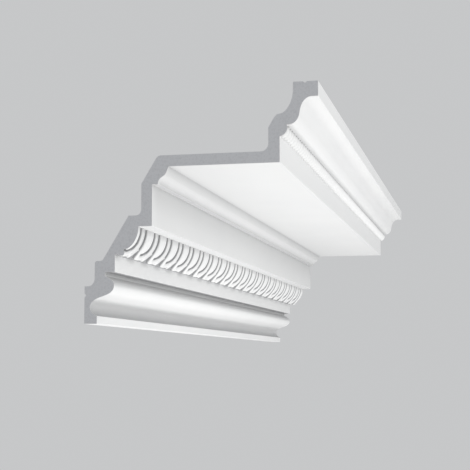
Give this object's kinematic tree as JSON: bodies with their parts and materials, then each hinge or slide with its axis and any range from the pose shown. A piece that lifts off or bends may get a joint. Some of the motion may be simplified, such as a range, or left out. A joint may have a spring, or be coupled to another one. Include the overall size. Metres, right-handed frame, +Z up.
{
  "type": "cornice moulding length",
  "caption": "Straight length of classical cornice moulding for a wall and ceiling corner, with an egg-and-dart band and a bead row, open behind.",
  "frame": {"origin": "mid-length on the flat face that is glued to the wall, 14 mm above the moulding's bottom edge", "axes": "+X along the length, +Y into the wall, +Z up to the ceiling"},
  "size_m": [1.05, 0.246, 0.244],
  "materials": {
    "primed_foam": "white satin primer on rigid foam"
  },
  "bodies": {
    "root": {"cornice_length": "primed_foam"}
  },
  "joints": []
}
